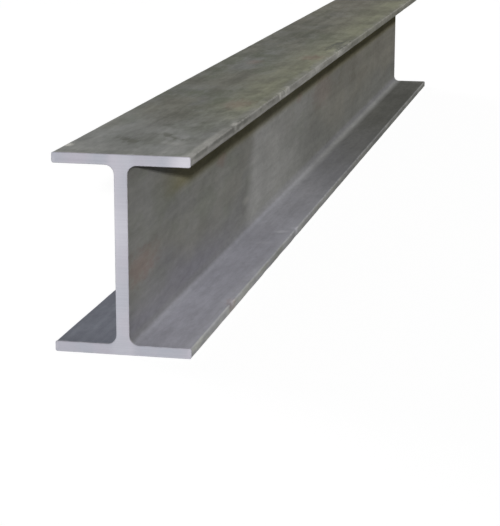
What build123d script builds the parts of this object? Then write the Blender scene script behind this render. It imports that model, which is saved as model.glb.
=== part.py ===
from build123d import *
import os

# Stainless steel I-beam, lying on its bottom flange.
# The frame is +Z up and +Y along the beam, with the origin at the middle of the underside.

# Driving dimensions, in millimetres
length = 1500.0
depth = 150.0
flange_width = 104.0
flange_thickness = 8.0
web_thickness = 10.0
root_radius = 7.0
toe_radius = 1.5
saw_cut_chamfer = 0.4

# Sizes that follow from the driving dimensions
half_width = flange_width / 2
half_web = web_thickness / 2
flange_overhang = half_width - half_web
clear_web_depth = depth - 2 * flange_thickness


def side_channel(side):
    """The open channel beside the web, with rounded roots. It runs out past the toes of the flanges."""
    open_width = 2 * flange_overhang
    centre = (side * (half_web + open_width / 2), depth / 2)
    channel = Pos(*centre) * Rectangle(open_width, clear_web_depth)
    root_corners = channel.vertices().sort_by(Axis.X, reverse=side < 0)[:2]
    return fillet(root_corners, root_radius)


def beam_section():
    """The rolled I-section: the outer rectangle less the channel on each side of the web, with rounded toes."""
    section = Pos(0, depth / 2) * Rectangle(flange_width, depth)
    section -= side_channel(-1)
    section -= side_channel(+1)
    toe_corners = [v for v in section.vertices() if abs(abs(v.X) - half_width) < root_radius / 100]
    return fillet(toe_corners, toe_radius)


def i_beam():
    """The section extruded to the full length, with the burr of each saw cut taken off as a small chamfer."""
    section_plane = Plane(origin=(0, length / 2, 0), x_dir=(1, 0, 0), z_dir=(0, -1, 0))
    bar = extrude(section_plane * beam_section(), amount=length)
    end_faces = bar.faces().filter_by(Axis.Y)
    return chamfer(end_faces.edges(), saw_cut_chamfer)


beam = i_beam()
os.makedirs("parts", exist_ok=True)
export_step(beam, "parts/i_beam.step")
print("i_beam volume", round(beam.volume), "box", beam.bounding_box())
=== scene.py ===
import bmesh
import bpy
import math
from mathutils import Matrix, Vector, noise


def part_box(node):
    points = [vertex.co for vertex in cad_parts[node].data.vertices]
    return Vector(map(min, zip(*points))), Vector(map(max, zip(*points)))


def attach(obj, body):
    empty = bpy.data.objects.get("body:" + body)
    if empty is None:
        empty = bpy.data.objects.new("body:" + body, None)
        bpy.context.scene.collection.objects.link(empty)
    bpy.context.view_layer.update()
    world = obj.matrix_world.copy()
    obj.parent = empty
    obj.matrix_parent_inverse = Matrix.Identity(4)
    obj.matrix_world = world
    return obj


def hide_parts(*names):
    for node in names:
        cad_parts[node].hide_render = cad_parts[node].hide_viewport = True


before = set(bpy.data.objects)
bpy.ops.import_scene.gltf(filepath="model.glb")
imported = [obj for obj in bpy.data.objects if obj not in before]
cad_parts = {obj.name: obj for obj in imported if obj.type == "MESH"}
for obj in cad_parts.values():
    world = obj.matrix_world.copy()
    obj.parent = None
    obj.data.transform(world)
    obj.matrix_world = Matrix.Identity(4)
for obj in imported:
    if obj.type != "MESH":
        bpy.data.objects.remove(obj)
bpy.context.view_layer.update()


# The beam: one straight bar of stainless steel, an upright web with a flange above and one below.
# The roots between web and flanges are rounded, the toes are slightly rounded, and both ends are
# square saw cuts with the burr filed off. The bar's faces are not quite flat, and its toes are nicked.
beam_low, beam_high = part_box("i_beam")
front = beam_low.y
foot = beam_low.z
length = beam_high.y - front
depth = beam_high.z - foot
half_width = (beam_high.x - beam_low.x) / 2
half_depth = depth / 2
half_web = 0.005
flange_thickness = 0.008
root_radius = 0.007
toe_radius = 0.0015
filed_chamfer = 0.0004
root_segments = 6
toe_segments = 4
cell_across = 0.0048
cell_along = 0.0035
saw_cell_across = 0.004
saw_cell_up = 0.001
sharp_angle = math.radians(30)


def quarter_section(bar):
    """A quarter of the section, from the middle of the web out to the upper right toe."""
    under_flange = half_depth - flange_thickness
    corners = [
        (0, 0),
        (half_web, 0),
        (half_web, under_flange),
        (half_width, under_flange),
        (half_width, half_depth),
        (0, half_depth),
    ]
    points = [bar.verts.new((x, 0, z)) for x, z in corners]
    bar.faces.new(points)
    root = points[2]
    toes = points[3:5]
    bmesh.ops.bevel(
        bar, geom=[root], offset=root_radius, affect="VERTICES",
        segments=root_segments, profile=0.5, material=-1,
    )
    bmesh.ops.bevel(
        bar, geom=toes, offset=toe_radius, affect="VERTICES",
        segments=toe_segments, profile=0.5, material=-1,
    )
    for edge in list(bar.edges):
        cells = round(edge.calc_length() / cell_across)
        if cells > 1:
            bmesh.ops.subdivide_edges(bar, edges=[edge], cuts=cells - 1)


def full_section(bar):
    """The quarter mirrored to the left and then downwards."""
    for axis in "XZ":
        everything = bar.verts[:] + bar.edges[:] + bar.faces[:]
        bmesh.ops.mirror(bar, geom=everything, axis=axis, merge_dist=cell_across / 100)


def draw_out(bar):
    """Draws the section out to the full length, then files a small chamfer round each end."""
    drawn = bmesh.ops.extrude_face_region(bar, geom=bar.faces[:], use_keep_orig=True)
    far_points = [item for item in drawn["geom"] if isinstance(item, bmesh.types.BMVert)]
    bmesh.ops.translate(bar, verts=far_points, vec=(0, length, 0))
    bmesh.ops.recalc_face_normals(bar, faces=bar.faces[:])
    rims = [
        edge for edge in bar.edges
        if {round(abs(face.normal.y)) for face in edge.link_faces} == {0, 1}
    ]
    bmesh.ops.bevel(
        bar, geom=rims, offset=filed_chamfer, affect="EDGES",
        segments=1, profile=0.5, material=-1,
    )


def is_sawn(face):
    """Whether a face is part of a flat sawn end, inside its filed chamfer."""
    return abs(face.normal.y) > 0.99


def grid_ends(bar):
    """Divides the two end faces into cells, so that the saw's ripples can be cut into them."""
    across = (Vector((1, 0, 0)), half_width, saw_cell_across)
    upwards = (Vector((0, 0, 1)), half_depth, saw_cell_up)
    for axis, half_size, cell in (across, upwards):
        for cut in range(1, round(2 * half_size / cell)):
            ends = [face for face in bar.faces if is_sawn(face)]
            edges = {edge for face in ends for edge in face.edges}
            points = {vert for face in ends for vert in face.verts}
            bmesh.ops.bisect_plane(
                bar, geom=ends + list(edges) + list(points),
                plane_co=axis * (cut * cell - half_size), plane_no=axis, dist=1e-6,
            )


def divide_lengthwise(bar):
    """Cuts the faces of the bar into short cells along its length."""
    long_edges = [edge for edge in bar.edges if edge.calc_length() > length / 2]
    bmesh.ops.subdivide_edges(bar, edges=long_edges, cuts=round(length / cell_along))


bar = bmesh.new()
quarter_section(bar)
full_section(bar)
draw_out(bar)
grid_ends(bar)
divide_lengthwise(bar)
bar.normal_update()
for face in bar.faces:
    face.smooth = True
    face.material_index = 1 if abs(face.normal.y) > 0.5 else 0
for edge in bar.edges:
    edge.smooth = edge.calc_face_angle(0) < sharp_angle
bmesh.ops.translate(bar, verts=bar.verts[:], vec=(0, front, foot + half_depth))

# Out of flat: how far each kind of unevenness goes below the true surface, and its size.
saw_ripple = 0.00008
saw_ripple_size = Vector((0.05, 0.05, 0.0026))
broad_bow = 0.00016
broad_size = Vector((0.09, 0.17, 0.09))
dimple_bow = 0.00005
dimple_size = Vector((0.015, 0.024, 0.015))
toe_wander = 0.0005
toe_wander_size = Vector((0.025, 0.035, 0.05))
toe_reach = 0.012
worn_angle = math.radians(20)

# Nicks in the toes, as the photo shows them on the right and a few more like them elsewhere: the side,
# how far it is from the front and up from the foot, its reach along the bar, and how deep it goes.
right, left = 1, -1
nick_half_size = 0.005
nicks = [
    (right, 0.150, depth, 0.007, 0.0011),
    (right, 0.335, depth, 0.006, 0.0016),
    (right, 0.349, depth, 0.005, 0.0012),
    (right, 0.362, depth, 0.008, 0.0014),
    (right, 0.520, depth, 0.010, 0.0009),
    (right, 0.655, depth, 0.012, 0.0012),
    (right, 1.210, depth, 0.009, 0.0011),
    (left, 1.380, depth, 0.010, 0.0012),
    (right, 0.138, flange_thickness, 0.009, 0.0010),
    (right, 0.420, flange_thickness, 0.007, 0.0008),
    (left, 0.620, flange_thickness, 0.008, 0.0010),
    (left, 1.180, flange_thickness, 0.008, 0.0010),
]


def noise_at(place, size, seed=0):
    """Smooth random value, from -1 to 1 or a little beyond, that changes over the given size."""
    return noise.noise(Vector((place.x / size.x, place.y / size.y, place.z / size.z + seed)))


def uneven(place, size, seed=0):
    """Such a value brought between 0 and 1."""
    return 0.5 + 0.5 * max(-1.0, min(1.0, noise_at(place, size, seed)))


def nick_depth(place):
    """How far the nicks knock in a point of the surface, from 0 to more than a millimetre."""
    deepest = 0.0
    for side, from_front, height, reach, deep in nicks:
        away = place - Vector((side * half_width, front + from_front, foot + height))
        share = 1 - (away.x / nick_half_size) ** 2 - (away.y / reach) ** 2 - (away.z / nick_half_size) ** 2
        deepest = max(deepest, deep * share)
    return deepest


edge_wear = bar.verts.layers.float.new("edge_wear")
bar.normal_update()
for vert in bar.verts:
    place = vert.co.copy()
    if all(is_sawn(face) for face in vert.link_faces):
        vert.co -= vert.normal * saw_ripple * uneven(place, saw_ripple_size, seed=80)
        continue
    if any(face.material_index == 1 for face in vert.link_faces):
        vert[edge_wear] = 1.0
        continue
    nicked = nick_depth(place)
    sharpness = max(edge.calc_face_angle(0) for edge in vert.link_edges)
    vert[edge_wear] = 1.0 if nicked > 0 or sharpness > worn_angle else 0.0
    bowed = broad_bow * uneven(place, broad_size) + dimple_bow * uneven(place, dimple_size, seed=40)
    vert.co -= vert.normal * (bowed + nicked)
    toe_share = max(0.0, 1 - (half_width - abs(place.x)) / toe_reach)
    wander = max(0.0, noise_at(place, toe_wander_size))
    vert.co.x -= math.copysign(toe_wander * toe_share * wander, place.x)

beam_mesh = bpy.data.meshes.new("beam")
bar.to_mesh(beam_mesh)
bar.free()
beam = bpy.data.objects.new("beam", beam_mesh)
bpy.context.scene.collection.objects.link(beam)
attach(beam, "root")
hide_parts("i_beam")


# The finish of the rolled faces: stainless steel as it comes from hot rolling and pickling, dull
# grey with olive, mauve and brown clouds, bluer low down, and marked by handling: pale rubbed toes,
# dark smears, small scuffs and a few reddish blooms. Light and shade are painted in too: a painted
# reflection on the right of the web, painted shade under the upper flange, a painted highlight beside
# the right lower root, and painted highlights and a line of painted shade along the right upper toe.


def fill_inputs(tree, node, inputs):
    """Fills each named input of a node with a value or a link."""
    for socket, value in inputs.items():
        if isinstance(value, bpy.types.NodeSocket):
            tree.links.new(value, node.inputs[socket])
        else:
            node.inputs[socket].default_value = value


def place_node(tree, kind, inputs=None, **settings):
    """Adds a node, sets its options and fills its inputs."""
    made = tree.nodes.new(kind)
    for name, value in settings.items():
        setattr(made, name, value)
    fill_inputs(tree, made, inputs or {})
    return made


def calculate(tree, operation, *values, clamp=False):
    """One Math node on values or links."""
    inputs = dict(enumerate(values))
    return place_node(tree, "ShaderNodeMath", inputs, operation=operation, use_clamp=clamp).outputs[0]


def vector_math(tree, operation, *vectors):
    """One Vector Math node on vectors or links."""
    inputs = dict(enumerate(vectors))
    return place_node(tree, "ShaderNodeVectorMath", inputs, operation=operation).outputs[0]


def product(tree, first, *others):
    """All these masks and shares multiplied together."""
    for other in others:
        first = calculate(tree, "MULTIPLY", first, other)
    return first


def opposite(tree, mask):
    """1 where the mask is 0, and 0 where it is 1."""
    return calculate(tree, "SUBTRACT", 1.0, mask)


def ramp_between(tree, value, start, end):
    """0 below start and 1 above end, with a smooth rise between."""
    ramp = place_node(
        tree, "ShaderNodeMapRange", {"Value": value, "From Min": start, "From Max": end},
        interpolation_type="SMOOTHSTEP",
    )
    return ramp.outputs["Result"]


def blend_value(tree, mask, below, above):
    """One Mix node on values: below where the mask is 0, above where it is 1."""
    return place_node(tree, "ShaderNodeMix", {"Factor": mask, "A": below, "B": above}).outputs["Result"]


def blend_colour(tree, mask, below, above, blend_type="MIX"):
    """One Mix node on colours: below where the mask is 0, above where it is 1."""
    mixed = place_node(
        tree, "ShaderNodeMix", {"Factor": mask, "A": below, "B": above},
        data_type="RGBA", blend_type=blend_type,
    )
    return mixed.outputs["Result"]


def cover(tree, colour, layer, *shares):
    """The colour with another laid over it, as strongly as the product of the shares says."""
    return blend_colour(tree, product(tree, *shares), colour, layer)


def new_group(name, inputs, outputs):
    """An empty node group with these inputs, as (name, kind, value), and outputs, as (name, kind)."""
    group = bpy.data.node_groups.new(name, "ShaderNodeTree")
    for socket, kind, value in inputs:
        made = group.interface.new_socket(socket, in_out="INPUT", socket_type=kind)
        made.default_value = value
    for socket, kind in outputs:
        group.interface.new_socket(socket, in_out="OUTPUT", socket_type=kind)
    return group, group.nodes.new("NodeGroupInput"), group.nodes.new("NodeGroupOutput")


def use_group(tree, group, **inputs):
    """The output of a node group placed in a material. Underscores in its inputs' names are spaces."""
    made = place_node(tree, "ShaderNodeGroup", node_tree=group)
    fill_inputs(tree, made, {name.replace("_", " "): value for name, value in inputs.items()})
    return made.outputs[0]


def new_material(name):
    """A new material, its node tree and its shader."""
    material = bpy.data.materials.new(name)
    material.use_nodes = True
    return material, material.node_tree, material.node_tree.nodes["Principled BSDF"]


def make_cloudy_patches():
    """Soft patches of a given size: a mask that rises from 0 to 1 between two levels of a noise."""
    group, given, result = new_group(
        "cloudy_patches",
        [
            ("Place", "NodeSocketVector", (0, 0, 0)),
            ("Patch Size", "NodeSocketVector", (0.05, 0.05, 0.05)),
            ("Shift", "NodeSocketVector", (0, 0, 0)),
            ("Roughness", "NodeSocketFloat", 0.5),
            ("Clear Below", "NodeSocketFloat", 0.35),
            ("Full Above", "NodeSocketFloat", 0.65),
        ],
        [("Mask", "NodeSocketFloat")],
    )
    scaled = vector_math(group, "DIVIDE", given.outputs["Place"], given.outputs["Patch Size"])
    shifted = vector_math(group, "ADD", scaled, given.outputs["Shift"])
    cloud = place_node(
        group, "ShaderNodeTexNoise",
        {"Vector": shifted, "Scale": 1.0, "Detail": 3.0, "Roughness": given.outputs["Roughness"]},
    )
    levels = (given.outputs["Clear Below"], given.outputs["Full Above"])
    mask = ramp_between(group, cloud.outputs["Fac"], *levels)
    group.links.new(mask, result.inputs["Mask"])
    return group


def make_tool_lines():
    """The fine lines that rolls or a saw leave, with the grain of the metal between them."""
    group, given, result = new_group(
        "tool_lines",
        [
            ("Place", "NodeSocketVector", (0, 0, 0)),
            ("Line Size", "NodeSocketVector", (0.001, 0.1, 0.001)),
            ("Grain Size", "NodeSocketFloat", 0.001),
            ("Grain Share", "NodeSocketFloat", 0.5),
        ],
        [("Height", "NodeSocketFloat")],
    )
    line_place = vector_math(group, "DIVIDE", given.outputs["Place"], given.outputs["Line Size"])
    lines = place_node(group, "ShaderNodeTexNoise", {"Vector": line_place, "Scale": 1.0, "Detail": 2.0})
    grain_scale = calculate(group, "DIVIDE", 1.0, given.outputs["Grain Size"])
    grain = place_node(
        group, "ShaderNodeTexNoise",
        {"Vector": given.outputs["Place"], "Scale": grain_scale, "Detail": 3.0, "Roughness": 0.6},
    )
    mixed = blend_value(group, given.outputs["Grain Share"], lines.outputs["Fac"], grain.outputs["Fac"])
    group.links.new(mixed, result.inputs["Height"])
    return group


def make_edge_chips():
    """Bright, broken wear where the bar has been knocked or filed, from the edge_wear attribute."""
    group, given, result = new_group(
        "edge_chips",
        [
            ("Place", "NodeSocketVector", (0, 0, 0)),
            ("Chip Size", "NodeSocketFloat", 0.006),
            ("Amount", "NodeSocketFloat", 0.6),
            ("Clear Below", "NodeSocketFloat", 0.36),
            ("Full Above", "NodeSocketFloat", 0.62),
        ],
        [("Mask", "NodeSocketFloat")],
    )
    edge = place_node(group, "ShaderNodeAttribute", attribute_name="edge_wear")
    chip_scale = calculate(group, "DIVIDE", 1.0, given.outputs["Chip Size"])
    chips = place_node(
        group, "ShaderNodeTexNoise", {"Vector": given.outputs["Place"], "Scale": chip_scale, "Detail": 4.0},
    )
    levels = (given.outputs["Clear Below"], given.outputs["Full Above"])
    worn = product(group, edge.outputs["Fac"], ramp_between(group, chips.outputs["Fac"], *levels))
    mask = calculate(group, "MULTIPLY", worn, given.outputs["Amount"], clamp=True)
    group.links.new(mask, result.inputs["Mask"])
    return group


cloudy_patches = make_cloudy_patches()
tool_lines = make_tool_lines()
edge_chips = make_edge_chips()

# The clouds on the rolled faces: the size of each, its shift, how rough it is, and the two levels of
# the noise between which it comes up.
patch_cloud = ((0.024, 0.060, 0.024), (0, 0, 0), 0.62, 0.36, 0.64)
tint_cloud = ((0.045, 0.130, 0.050), (6, 4, 3), 0.5, 0.40, 0.60)
blotch_cloud = ((0.070, 0.190, 0.070), (3, 1, 7), 0.5, 0.34, 0.66)
band_cloud = ((1.000, 0.110, 0.350), (0, 5, 2), 0.5, 0.35, 0.68)
streak_cloud = ((0.009, 0.260, 0.009), (8, 3, 5), 0.5, 0.32, 0.68)
rub_cloud = ((0.008, 0.038, 0.008), (1, 9, 4), 0.6, 0.42, 0.60)
fleck_cloud = ((0.0032, 0.0140, 0.0032), (2, 2, 2), 0.7, 0.25, 0.75)
# Where the parts that differ in colour end: the two flanges, the strip of painted highlight beside the
# right root, and the front of the top, whose border leans and waves.
under_top_flange = foot + depth - flange_thickness
over_low_flange = foot + flange_thickness
top_heights = (under_top_flange - 0.002, under_top_flange)
low_flange_heights = (over_low_flange + 0.0002, over_low_flange + 0.0028)
highlight_strip_fades = (0.0100, 0.0185)
front_fades = (front + 0.070, front + 0.240)
front_lean = 1.5
border_waves = 0.12


def cloud_mask(tree, place, cloud):
    """The mask of one kind of cloud."""
    size, shift, roughness, clear_below, full_above = cloud
    return use_group(
        tree, cloudy_patches, Place=place, Patch_Size=size, Shift=shift,
        Roughness=roughness, Clear_Below=clear_below, Full_Above=full_above,
    )


class RolledFace:
    """What the colour of a rolled face depends on: the clouds, and where on the bar each point lies."""

    def __init__(self, tree):
        self.place = place_node(tree, "ShaderNodeTexCoord").outputs["Object"]
        self.across, self.along, self.up = place_node(tree, "ShaderNodeSeparateXYZ", {0: self.place}).outputs
        self.patches = cloud_mask(tree, self.place, patch_cloud)
        self.tints = cloud_mask(tree, self.place, tint_cloud)
        self.blotches = cloud_mask(tree, self.place, blotch_cloud)
        self.bands = cloud_mask(tree, self.place, band_cloud)
        self.streaks = cloud_mask(tree, self.place, streak_cloud)
        self.rubs = cloud_mask(tree, self.place, rub_cloud)
        self.flecks = cloud_mask(tree, self.place, fleck_cloud)

        self.on_top = ramp_between(tree, self.up, *top_heights)
        self.off_low_flange = ramp_between(tree, self.up, *low_flange_heights)
        self.on_low_flange = opposite(tree, self.off_low_flange)
        self.on_right = ramp_between(tree, self.across, -half_web, half_web)
        self.on_right_web = product(tree, self.off_low_flange, opposite(tree, self.on_top), self.on_right)
        beside_root = opposite(tree, ramp_between(tree, self.across, *highlight_strip_fades))
        self.in_highlight_strip = product(tree, beside_root, self.on_right)
        self.wavy_along = calculate(tree, "MULTIPLY_ADD", self.blotches, border_waves, self.along)
        slanting = calculate(tree, "MULTIPLY_ADD", self.across, front_lean, self.wavy_along)
        self.behind_front = ramp_between(tree, slanting, *front_fades)
        self.on_top_front = product(tree, opposite(tree, self.behind_front), self.on_top)


# Clouds of olive and mauve, tinted brown, greyed on the web and less on the top.
olive_grey = (0.340, 0.365, 0.278, 1)
mauve_grey = (0.362, 0.362, 0.352, 1)
brown_grey = (0.364, 0.355, 0.300, 1)
web_grey = (0.436, 0.433, 0.410, 1)
top_grey = (0.374, 0.384, 0.350, 1)
web_greyed = 0.64
top_greyed = 0.30
far_brown = (0.395, 0.372, 0.312, 1)
far_brown_share = 0.6
brown_comes = (front + 0.60, front + 1.15)


def cloud_colours(tree, face):
    """The colours of the whole bar, browner towards the far end."""
    colour = blend_colour(tree, face.patches, olive_grey, mauve_grey)
    colour = cover(tree, colour, brown_grey, face.tints)
    plain = blend_colour(tree, face.on_top, web_grey, top_grey)
    colour = cover(tree, colour, plain, blend_value(tree, face.on_top, web_greyed, top_greyed))
    return cover(tree, colour, far_brown, far_brown_share, ramp_between(tree, face.along, *brown_comes))


# The lower web is bluer near the front. The lower flange is palest and bluest there, and a strip of it
# beside the right root stays pale farther along: a painted highlight along the root.
low_web_near = (0.408, 0.401, 0.438, 1)
low_web_far = (0.372, 0.372, 0.345, 1)
low_web_fades = (front + 0.20, front + 0.46)
low_web_heights = (foot + 0.030, foot + 0.075)
low_web_waves = 0.025
root_grey = (0.364, 0.361, 0.378, 1)
root_share = 0.8
root_heights = (foot + 0.011, foot + 0.017)
flange_near = (0.640, 0.637, 0.715, 1)
flange_left = (0.298, 0.312, 0.365, 1)
flange_far = (0.300, 0.300, 0.276, 1)
flange_fades = (front + 0.20, front + 1.30)
# The pale strip beside the right root is a painted highlight.
highlight_strip_near = (0.572, 0.570, 0.630, 1)
highlight_strip_far = (0.500, 0.500, 0.490, 1)
highlight_strip_darkens = (front + 0.35, front + 0.95)


def low_colours(tree, face, colour):
    """The lower web, the root below it, and the lower flange with its pale band of painted highlight."""
    low_web = blend_colour(tree, ramp_between(tree, face.along, *low_web_fades), low_web_near, low_web_far)
    wavy_up = calculate(tree, "MULTIPLY_ADD", face.blotches, low_web_waves, face.up)
    colour = cover(tree, colour, low_web, opposite(tree, ramp_between(tree, wavy_up, *low_web_heights)))
    at_root = opposite(tree, ramp_between(tree, face.up, *root_heights))
    colour = cover(tree, colour, root_grey, root_share, at_root)
    flange = blend_colour(tree, face.on_right, flange_left, flange_near)
    flange = cover(tree, flange, flange_far, ramp_between(tree, face.wavy_along, *flange_fades))
    highlight_strip = blend_colour(tree, ramp_between(tree, face.along, *highlight_strip_darkens), highlight_strip_near, highlight_strip_far)
    flange = cover(tree, flange, highlight_strip, face.in_highlight_strip)
    return cover(tree, colour, flange, face.on_low_flange)


# On the right side of the web a stretch is pale, a painted reflection, and under the upper flange the
# web turns dark olive: painted shade that colours the flange's shadow.
web_reflection_grey = (0.630, 0.627, 0.608, 1)
web_reflection_share = 0.85
web_reflection_starts = (front + 0.383, front + 0.423)
web_reflection_ends = (front + 0.36, front + 0.88)
web_reflection_heights = (foot + 0.002, foot + 0.032)
web_reflection_lean = 0.5
# Painted shade under the upper flange: a dark olive laid where the flange's shadow falls.
painted_shade_olive = (0.378, 0.344, 0.178, 1)
painted_shade_share = 0.7
painted_shade_starts = (front + 0.08, front + 0.17)
painted_shade_heights = (foot + 0.090, foot + 0.101)


def web_colours(tree, face, colour):
    """The painted reflection, a pale stretch whose start leans back, and the painted shade under the flange.
    """
    leaning = calculate(tree, "MULTIPLY_ADD", face.up, -web_reflection_lean, face.along)
    colour = cover(
        tree, colour, web_reflection_grey, web_reflection_share, face.on_right_web,
        ramp_between(tree, leaning, *web_reflection_starts),
        opposite(tree, ramp_between(tree, face.along, *web_reflection_ends)),
        ramp_between(tree, face.up, *web_reflection_heights),
    )
    return cover(
        tree, colour, painted_shade_olive, painted_shade_share, face.on_right_web,
        ramp_between(tree, face.along, *painted_shade_starts),
        ramp_between(tree, face.up, *painted_shade_heights),
    )


# The top is a plainer grey at the front. Towards the right it is paler, and behind the front it turns
# to a sunnier olive.
front_grey = (0.374, 0.379, 0.370, 1)
front_grey_share = 0.8
front_right_grey = (0.452, 0.455, 0.440, 1)
sunny_olive = (0.468, 0.472, 0.348, 1)
sunny_starts = (front + 0.10, front + 0.26)
sunny_across = (-0.010, 0.046)
sunny_between_patches = 0.55
sunny_at_front = 0.3


def top_colours(tree, face, colour):
    """The front and the right of the top."""
    colour = cover(tree, colour, front_grey, front_grey_share, face.on_top_front)
    sunny = blend_colour(tree, ramp_between(tree, face.along, *sunny_starts), front_right_grey, sunny_olive)
    return cover(
        tree, colour, sunny, face.on_top, ramp_between(tree, face.across, *sunny_across),
        blend_value(tree, face.patches, sunny_between_patches, 1.0),
        blend_value(tree, face.behind_front, sunny_at_front, 1.0),
    )


# The right toes are rubbed pale, and so is the surface beside the upper one. Both are palest near the
# front.
toe_grey = (0.535, 0.515, 0.478, 1)
toe_grey_share = 0.7
toe_faces = (half_width - 0.0016, half_width - 0.0004)
worn_grey = (0.620, 0.612, 0.580, 1)
worn_across = (half_width - 0.010, half_width - 0.002)
worn_least = 0.18
worn_most = 0.60
toe_dulls = (front + 0.45, front + 0.85)
toe_dulled = 0.5
low_toe_near = (0.870, 0.875, 0.820, 1)
low_toe_far = (0.560, 0.562, 0.520, 1)
low_toe_fades = (front + 0.12, front + 0.36)
low_toe_least = 0.55
low_toe_most = 1.05


def toe_colours(tree, face, colour):
    """The upper toe, the worn surface beside it, and the lower toe."""
    on_toe = ramp_between(tree, face.across, *toe_faces)
    fresh = blend_value(tree, ramp_between(tree, face.along, *toe_dulls), 1.0, toe_dulled)
    colour = cover(tree, colour, toe_grey, toe_grey_share, on_toe, face.off_low_flange, fresh)
    colour = cover(
        tree, colour, worn_grey, ramp_between(tree, face.across, *worn_across), face.off_low_flange, fresh,
        blend_value(tree, face.rubs, worn_least, worn_most),
    )
    low_toe = blend_colour(tree, ramp_between(tree, face.along, *low_toe_fades), low_toe_near, low_toe_far)
    return cover(
        tree, colour, low_toe, on_toe, face.on_low_flange,
        blend_value(tree, face.rubs, low_toe_least, low_toe_most),
    )


# Marks that the photo shows: the middle of each, as its place across, from the front and up from the
# foot, then its half sizes, its turn on a level face in degrees, and its strength.
rust_bloom = (0.500, 0.320, 0.285, 1)
blooms = [
    ((half_web, 0.036, 0.060), (0.004, 0.046, 0.013), 0, 0.38),
    ((0.051, 0.138, 0.006), (0.006, 0.012, 0.006), 0, 0.40),
    ((0.034, 0.600, depth), (0.012, 0.024, 0.004), 0, 0.35),
    ((0.030, 0.260, depth), (0.012, 0.028, 0.004), 0, 0.30),
    ((half_web, 0.307, 0.092), (0.004, 0.018, 0.006), 0, 0.30),
    ((half_web, 0.690, 0.095), (0.004, 0.018, 0.005), 0, 0.25),
    ((half_web, 0.840, 0.082), (0.004, 0.070, 0.020), 0, 0.20),
    ((-0.016, 0.550, depth), (0.008, 0.016, 0.004), 0, 0.30),
]
smear_and_shade_dark = (0.250, 0.255, 0.225, 1)
smears_and_shade_line = [
    ((-0.012, 0.064, depth), (0.0130, 0.0055, 0.004), 53, 0.95),
    ((0.0175, 0.083, depth), (0.0190, 0.0055, 0.004), 52, 0.95),
    ((0.004, 0.070, depth), (0.0240, 0.0240, 0.004), 0, 0.50),
    ((0.0055, 0.092, depth), (0.0150, 0.0070, 0.004), 0, 0.40),
    ((-0.014, 0.009, depth), (0.0380, 0.0070, 0.004), 0, 0.30),
    # Next: a dark line of painted shade along the right upper toe, under its rounded top edge.
    ((half_width + 0.0002, 0.110, depth - 0.0026), (0.0016, 0.1500, 0.0015), 0, 0.45),
    ((half_width + 0.0002, 0.154, depth - 0.0050), (0.0020, 0.0100, 0.0026), 0, 0.45),
    ((half_width, 0.359, depth - 0.0030), (0.0030, 0.0060, 0.0030), 0, 0.55),
    ((0.016, 0.180, depth), (0.0280, 0.0400, 0.004), 0, 0.42),
    ((-0.040, 0.370, depth), (0.0090, 0.0850, 0.004), 0, 0.35),
    ((0.044, 0.708, depth), (0.0090, 0.0420, 0.008), 0, 0.90),
    ((-0.015, 0.580, depth), (0.0160, 0.1500, 0.004), 0, 0.24),
    ((-0.030, 0.830, depth), (0.0240, 0.3000, 0.004), 0, 0.40),
]
bare_and_highlight_grey = (0.828, 0.812, 0.752, 1)
bare_blue = (0.800, 0.798, 0.860, 1)
scuffs_and_highlights = [
    ((0.0414, 0.4055, flange_thickness), (0.0070, 0.0060, 0.0030), -12, 0.90),
    ((0.0337, 0.3555, flange_thickness), (0.0080, 0.0060, 0.0030), -12, 0.42),
    ((half_web, 0.412, 0.0355), (0.0030, 0.0150, 0.0040), 0, 0.40),
    ((0.0497, 0.154, depth), (0.0032, 0.0095, 0.0016), 0, 1.00),
    ((-0.0488, 0.033, depth), (0.0032, 0.0060, 0.0030), 0, 0.90),
    ((half_width, 0.340, depth - 0.0040), (0.0036, 0.0045, 0.0060), 0, 0.85),
    ((half_width, 0.378, depth - 0.0020), (0.0040, 0.0055, 0.0045), 0, 0.90),
    ((half_width - 0.0005, 0.434, depth - 0.0020), (0.0045, 0.0120, 0.0035), 0, 0.70),
    ((half_width + 0.0005, 0.525, depth - 0.0035), (0.0026, 0.0500, 0.0032), 0, 0.80),
    ((half_width + 0.0005, 0.665, depth - 0.0035), (0.0026, 0.0500, 0.0032), 0, 0.75),
    # Next three: painted highlights on the right upper toe's rounded edges; the one on the upper edge is
    # part scuff too.
    ((half_width + 0.0002, 0.460, depth - 0.0062), (0.0022, 0.4200, 0.0016), 0, 0.60),
    ((0.0490, 0.070, depth), (0.0036, 0.0700, 0.0014), 0, 0.55),
    ((half_width + 0.0002, 0.065, depth - 0.0057), (0.0022, 0.0800, 0.0019), 0, 0.48),
    ((0.0225, 0.056, depth), (0.0100, 0.0060, 0.0030), 30, 0.16),
    ((0.0475, 0.170, flange_thickness), (0.0048, 0.2600, 0.0014), 0, 0.28),
]
mark_fraying = 0.9
mark_rim = (0.7, 1.9)
mill_chip_size = 0.005
mill_chips = 0.45


def mark_mask(tree, place, mark, ragged):
    """A mark with a ragged rim, as strong as it says in its middle and 0 outside."""
    (middle_across, from_front, height), half_sizes, turned, strength = mark
    from_middle = vector_math(tree, "SUBTRACT", place, (middle_across, front + from_front, foot + height))
    laid = place_node(
        tree, "ShaderNodeVectorRotate",
        {"Vector": from_middle, "Angle": math.radians(turned)}, rotation_type="Z_AXIS",
    )
    scaled = vector_math(tree, "DIVIDE", laid.outputs[0], half_sizes)
    away = place_node(tree, "ShaderNodeVectorMath", {0: scaled}, operation="LENGTH").outputs["Value"]
    frayed = calculate(tree, "MULTIPLY_ADD", ragged, mark_fraying, away)
    return product(tree, strength, opposite(tree, ramp_between(tree, frayed, *mark_rim)))


def marks_together(tree, place, marks, ragged):
    """The strongest of a list of marks at each place."""
    together = mark_mask(tree, place, marks[0], ragged)
    for mark in marks[1:]:
        together = calculate(tree, "MAXIMUM", together, mark_mask(tree, place, mark, ragged))
    return together


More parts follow.
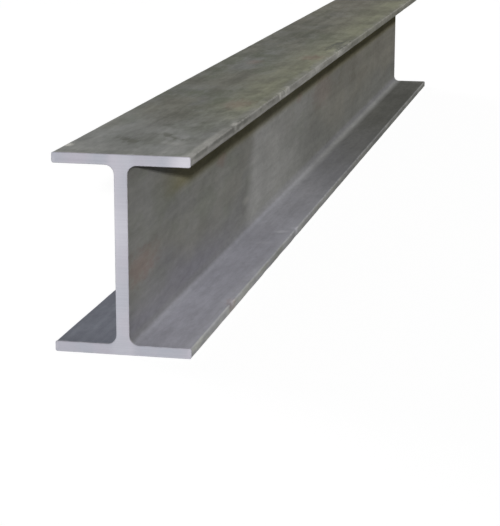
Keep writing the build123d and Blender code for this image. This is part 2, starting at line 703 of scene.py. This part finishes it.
def bare_and_highlight_mask(tree, face):
    """Where the metal shows, at scuff marks and chipped edges, and the painted highlights on the right upper
    toe.
    """
    chips = use_group(tree, edge_chips, Place=face.place, Chip_Size=mill_chip_size, Amount=mill_chips)
    return calculate(tree, "MAXIMUM", marks_together(tree, face.place, scuffs_and_highlights, face.flecks), chips)


def mark_colours(tree, face, colour, bare_and_highlights):
    """Reddish blooms, dark smudges and a painted shade line, then metal and painted highlights over all,
    bluer on the lower flange.
    """
    colour = cover(tree, colour, rust_bloom, marks_together(tree, face.place, blooms, face.flecks))
    colour = cover(tree, colour, smear_and_shade_dark, marks_together(tree, face.place, smears_and_shade_line, face.rubs))
    return cover(tree, colour, blend_colour(tree, face.off_low_flange, bare_blue, bare_and_highlight_grey), bare_and_highlights)


# Lightness: the top is lighter at its front, most at the rim, and the lower flange darkens halfway.
# Each kind of cloud swings it up and down by half the amount given.
web_lightness = 0.97
top_lightness = 0.89
front_lift = 0.30
rim_lift = 0.12
rim_fades = (front + 0.008, front + 0.028)
rim_across = (-0.050, 0.030)
flange_drop = 0.15
flange_darkens = (front + 0.630, front + 0.690)
flange_border_waves = 0.02
band_swing = 0.05
blotch_swing = 0.10
patch_swing = 0.08
top_patch_swing = 0.12
streak_swing = 0.12
fleck_swing = 0.16


def lightness(tree, face):
    """How light the steel is at each place, as a grey that its colour is multiplied by."""
    light = blend_value(tree, face.on_top, web_lightness, top_lightness)
    light = calculate(tree, "MULTIPLY_ADD", face.on_top_front, front_lift, light)
    at_rim = opposite(tree, ramp_between(tree, face.along, *rim_fades))
    at_rim = product(tree, at_rim, ramp_between(tree, face.across, *rim_across), face.on_top)
    light = calculate(tree, "MULTIPLY_ADD", at_rim, rim_lift, light)
    wavy_along = calculate(tree, "MULTIPLY_ADD", face.rubs, flange_border_waves, face.along)
    darkened = ramp_between(tree, wavy_along, *flange_darkens)
    darkened = product(tree, darkened, face.on_low_flange, opposite(tree, face.in_highlight_strip))
    light = calculate(tree, "MULTIPLY_ADD", darkened, -flange_drop, light)
    swings = (
        (face.bands, band_swing),
        (face.blotches, blotch_swing),
        (face.patches, patch_swing),
        (blend_value(tree, face.on_top, 0.5, face.patches), top_patch_swing),
        (face.streaks, streak_swing),
        (face.flecks, fleck_swing),
    )
    for cloud, swing in swings:
        light = product(tree, light, blend_value(tree, cloud, 1 - swing / 2, 1 + swing / 2))
    return place_node(tree, "ShaderNodeCombineColor", {0: light, 1: light, 2: light}).outputs[0]


# The skin is matt, without gloss, and a little metallic and smoother where it is bare and under the
# painted highlights. The rolls have left fine lines along it.
no_gloss = (0, 0, 0, 1)
mill_roughness = (0.57, 0.67)
bare_and_highlight_smoother = 0.15
bare_and_highlight_metallic = 0.10
roll_line_size = (0.0011, 0.12, 0.0011)
roll_grain_share = 0.6
roll_relief = 0.35
grain_size = 0.0007
relief_height = 0.0002


def make_mill_finish():
    """Colours laid over each other, from the broad clouds to the small marks, on a matt, lined skin."""
    material, tree, shader = new_material("mill_finish")
    face = RolledFace(tree)
    colour = cloud_colours(tree, face)
    colour = low_colours(tree, face, colour)
    colour = web_colours(tree, face, colour)
    colour = top_colours(tree, face, colour)
    colour = toe_colours(tree, face, colour)
    bare_and_highlights = bare_and_highlight_mask(tree, face)
    colour = mark_colours(tree, face, colour, bare_and_highlights)
    dull = blend_value(tree, face.patches, *mill_roughness)
    lines = use_group(
        tree, tool_lines, Place=face.place, Line_Size=roll_line_size,
        Grain_Size=grain_size, Grain_Share=roll_grain_share,
    )
    relief = {"Height": lines, "Strength": roll_relief, "Distance": relief_height}
    fill_inputs(tree, shader, {
        "Base Color": blend_colour(tree, 1.0, colour, lightness(tree, face), blend_type="MULTIPLY"),
        "Roughness": calculate(tree, "MULTIPLY_ADD", bare_and_highlights, -bare_and_highlight_smoother, dull),
        "Metallic": product(tree, bare_and_highlight_metallic, bare_and_highlights),
        "Specular Tint": no_gloss,
        "Specular IOR Level": 0.0,
        "Normal": place_node(tree, "ShaderNodeBump", relief).outputs[0],
    })
    return material


beam_mesh.materials.append(make_mill_finish())


# The sawn ends: bright bare steel with the faint level ripples of a band saw, clouded between blue
# and lavender. The web's end is a little brighter, most of all above its middle, and the upper right
# tip carries a painted highlight. The filed rim is chipped bright in places.
sawn_blue = (0.364, 0.377, 0.424, 1)
sawn_lavender = (0.404, 0.388, 0.438, 1)
end_bright_and_highlight = (0.560, 0.550, 0.600, 1)
sawn_cloud = ((0.022, 0.030, 0.030), (4, 0, 1), 0.4, 0.30, 0.70)
brightest_height = foot + 0.095
brightest_fades = (0.002, 0.028)
web_end_least = 0.45
web_end_across = (half_web, 0.012)
# The upper right tip's painted highlight: its reach across, its heights and its strength.
tip_highlight_across = (half_width - 0.022, half_width - 0.004)
tip_highlight_heights = (foot + 0.02, foot + 0.14)
tip_highlight = 1.6
brightened_share = 0.56
saw_line_size = (0.06, 0.06, 0.0008)
saw_grain_share = 0.4
saw_streak_levels = (0.38, 0.64)
saw_streak_share = 0.16
saw_relief = 0.3
sawn_chip_size = 0.004
sawn_chips = 0.4
sawn_roughness = (0.46, 0.54)
sawn_metallic = 0.3


def web_end_and_tip_highlight_mask(tree, place):
    """How much brighter the web's end is than the rest, with the painted highlight on the upper right tip.
    """
    axes = place_node(tree, "ShaderNodeSeparateXYZ", {0: place}).outputs
    from_brightest = calculate(tree, "SUBTRACT", axes["Z"], brightest_height)
    dimmer = ramp_between(tree, calculate(tree, "ABSOLUTE", from_brightest), *brightest_fades)
    off_web = ramp_between(tree, calculate(tree, "ABSOLUTE", axes["X"]), *web_end_across)
    web_end = product(tree, blend_value(tree, dimmer, 1.0, web_end_least), opposite(tree, off_web))
    right_tip_highlight = product(
        tree, tip_highlight,
        ramp_between(tree, axes["X"], *tip_highlight_across),
        ramp_between(tree, axes["Z"], *tip_highlight_heights),
    )
    return calculate(tree, "MAXIMUM", web_end, right_tip_highlight)


def make_sawn_steel():
    """Blue and lavender clouds, brightened by saw streaks, the web's end, the painted tip highlight and the
    chipped rim.
    """
    material, tree, shader = new_material("sawn_steel")
    place = place_node(tree, "ShaderNodeTexCoord").outputs["Object"]
    patches = cloud_mask(tree, place, sawn_cloud)
    lines = use_group(
        tree, tool_lines, Place=place, Line_Size=saw_line_size,
        Grain_Size=grain_size, Grain_Share=saw_grain_share,
    )
    streaks = product(tree, saw_streak_share, ramp_between(tree, lines, *saw_streak_levels))
    lightened = calculate(tree, "MULTIPLY_ADD", web_end_and_tip_highlight_mask(tree, place), brightened_share, streaks)
    chips = use_group(tree, edge_chips, Place=place, Chip_Size=sawn_chip_size, Amount=sawn_chips)
    bright = calculate(tree, "MAXIMUM", lightened, chips)
    clouds = blend_colour(tree, patches, sawn_blue, sawn_lavender)
    relief = {"Height": lines, "Strength": saw_relief, "Distance": relief_height}
    fill_inputs(tree, shader, {
        "Base Color": cover(tree, clouds, end_bright_and_highlight, bright),
        "Roughness": blend_value(tree, patches, *sawn_roughness),
        "Metallic": sawn_metallic,
        "Specular Tint": no_gloss,
        "Normal": place_node(tree, "ShaderNodeBump", relief).outputs[0],
    })
    return material


beam_mesh.materials.append(make_sawn_steel())


# The floor and a low backdrop round it, far away: matt, pale, and shown nearly white. The floor
# keeps the beam's shadow, and the backdrop casts none.
floor_colour = (0.20, 0.20, 0.20, 1)
floor_lift = 0.92
floor_radius = 30.0
floor_segments = 96
backdrop_height = 5.5
white = (1, 1, 1, 1)

pale, tree, shader = new_material("pale_studio")
paths = place_node(tree, "ShaderNodeLightPath").outputs
seen = calculate(tree, "MAXIMUM", paths["Is Camera Ray"], paths["Is Glossy Ray"])
seen = calculate(tree, "MAXIMUM", seen, paths["Is Transmission Ray"])
fill_inputs(tree, shader, {
    "Base Color": floor_colour,
    "Roughness": 1.0,
    "Specular IOR Level": 0.0,
    "Emission Color": white,
    "Emission Strength": product(tree, floor_lift, seen),
})

floor_disc = bmesh.new()
bmesh.ops.create_circle(floor_disc, cap_ends=True, segments=floor_segments, radius=floor_radius)
backdrop_ring = bmesh.new()
bmesh.ops.create_circle(backdrop_ring, segments=floor_segments, radius=floor_radius)
risen = bmesh.ops.extrude_edge_only(backdrop_ring, edges=backdrop_ring.edges[:])
risen_points = [item for item in risen["geom"] if isinstance(item, bmesh.types.BMVert)]
bmesh.ops.translate(backdrop_ring, verts=risen_points, vec=(0, 0, backdrop_height))
for name, shape in (("floor", floor_disc), ("backdrop", backdrop_ring)):
    stage_mesh = bpy.data.meshes.new(name)
    shape.to_mesh(stage_mesh)
    shape.free()
    stage_mesh.materials.append(pale)
    stage_piece = bpy.data.objects.new(name, stage_mesh)
    bpy.context.scene.collection.objects.link(stage_piece)
    stage_piece.visible_shadow = name == "floor"


# The light: one key lamp in front of the sawn end, a little to the right and above, a soft fill
# lamp behind the left side, and a soft even light all round.
key_travel = Vector((-0.242, 1.0, -0.236))
key_strength = 3.1
key_spread = math.radians(1.6)
fill_travel = Vector((0.80, -0.55, -0.15))
fill_strength = 1.7
fill_spread = math.radians(30)
world_level = 0.125


def hang_lamp(name, travel, strength, spread):
    """A lamp far away, whose light travels in one direction."""
    lamp_data = bpy.data.lights.new(name, "SUN")
    lamp_data.energy = strength
    lamp_data.angle = spread
    lamp = bpy.data.objects.new(name, lamp_data)
    lamp.rotation_mode = "QUATERNION"
    lamp.rotation_quaternion = travel.to_track_quat("-Z", "Y")
    bpy.context.scene.collection.objects.link(lamp)


hang_lamp("key", key_travel, key_strength, key_spread)
hang_lamp("fill", fill_travel, fill_strength, fill_spread)

world = bpy.data.worlds.new("soft_light")
world.use_nodes = True
sky = world.node_tree.nodes["Background"]
fill_inputs(world.node_tree, sky, {"Color": white, "Strength": world_level})
bpy.context.scene.world = world


# The camera: in front of the sawn end, turned a little to the left and down along the beam.
camera_place = Vector((0.3519, -1.9654, 0.3724))
turned_left = math.radians(11.91)
turned_down = math.radians(13.47)
leaning = math.radians(0.15)
lens_mm = 121.94
sensor_mm = 36
sight_reach = 100

camera_data = bpy.data.cameras.new("camera")
camera_data.lens = lens_mm
camera_data.sensor_width = sensor_mm
camera_data.clip_end = sight_reach
camera = bpy.data.objects.new("camera", camera_data)
bpy.context.scene.collection.objects.link(camera)
camera.matrix_world = (
    Matrix.Translation(camera_place)
    @ Matrix.Rotation(turned_left, 4, "Z")
    @ Matrix.Rotation(math.pi / 2 - turned_down, 4, "X")
    @ Matrix.Rotation(leaning, 4, "Z")
)
bpy.context.scene.camera = camera
bpy.context.scene.view_settings.view_transform = "Standard"
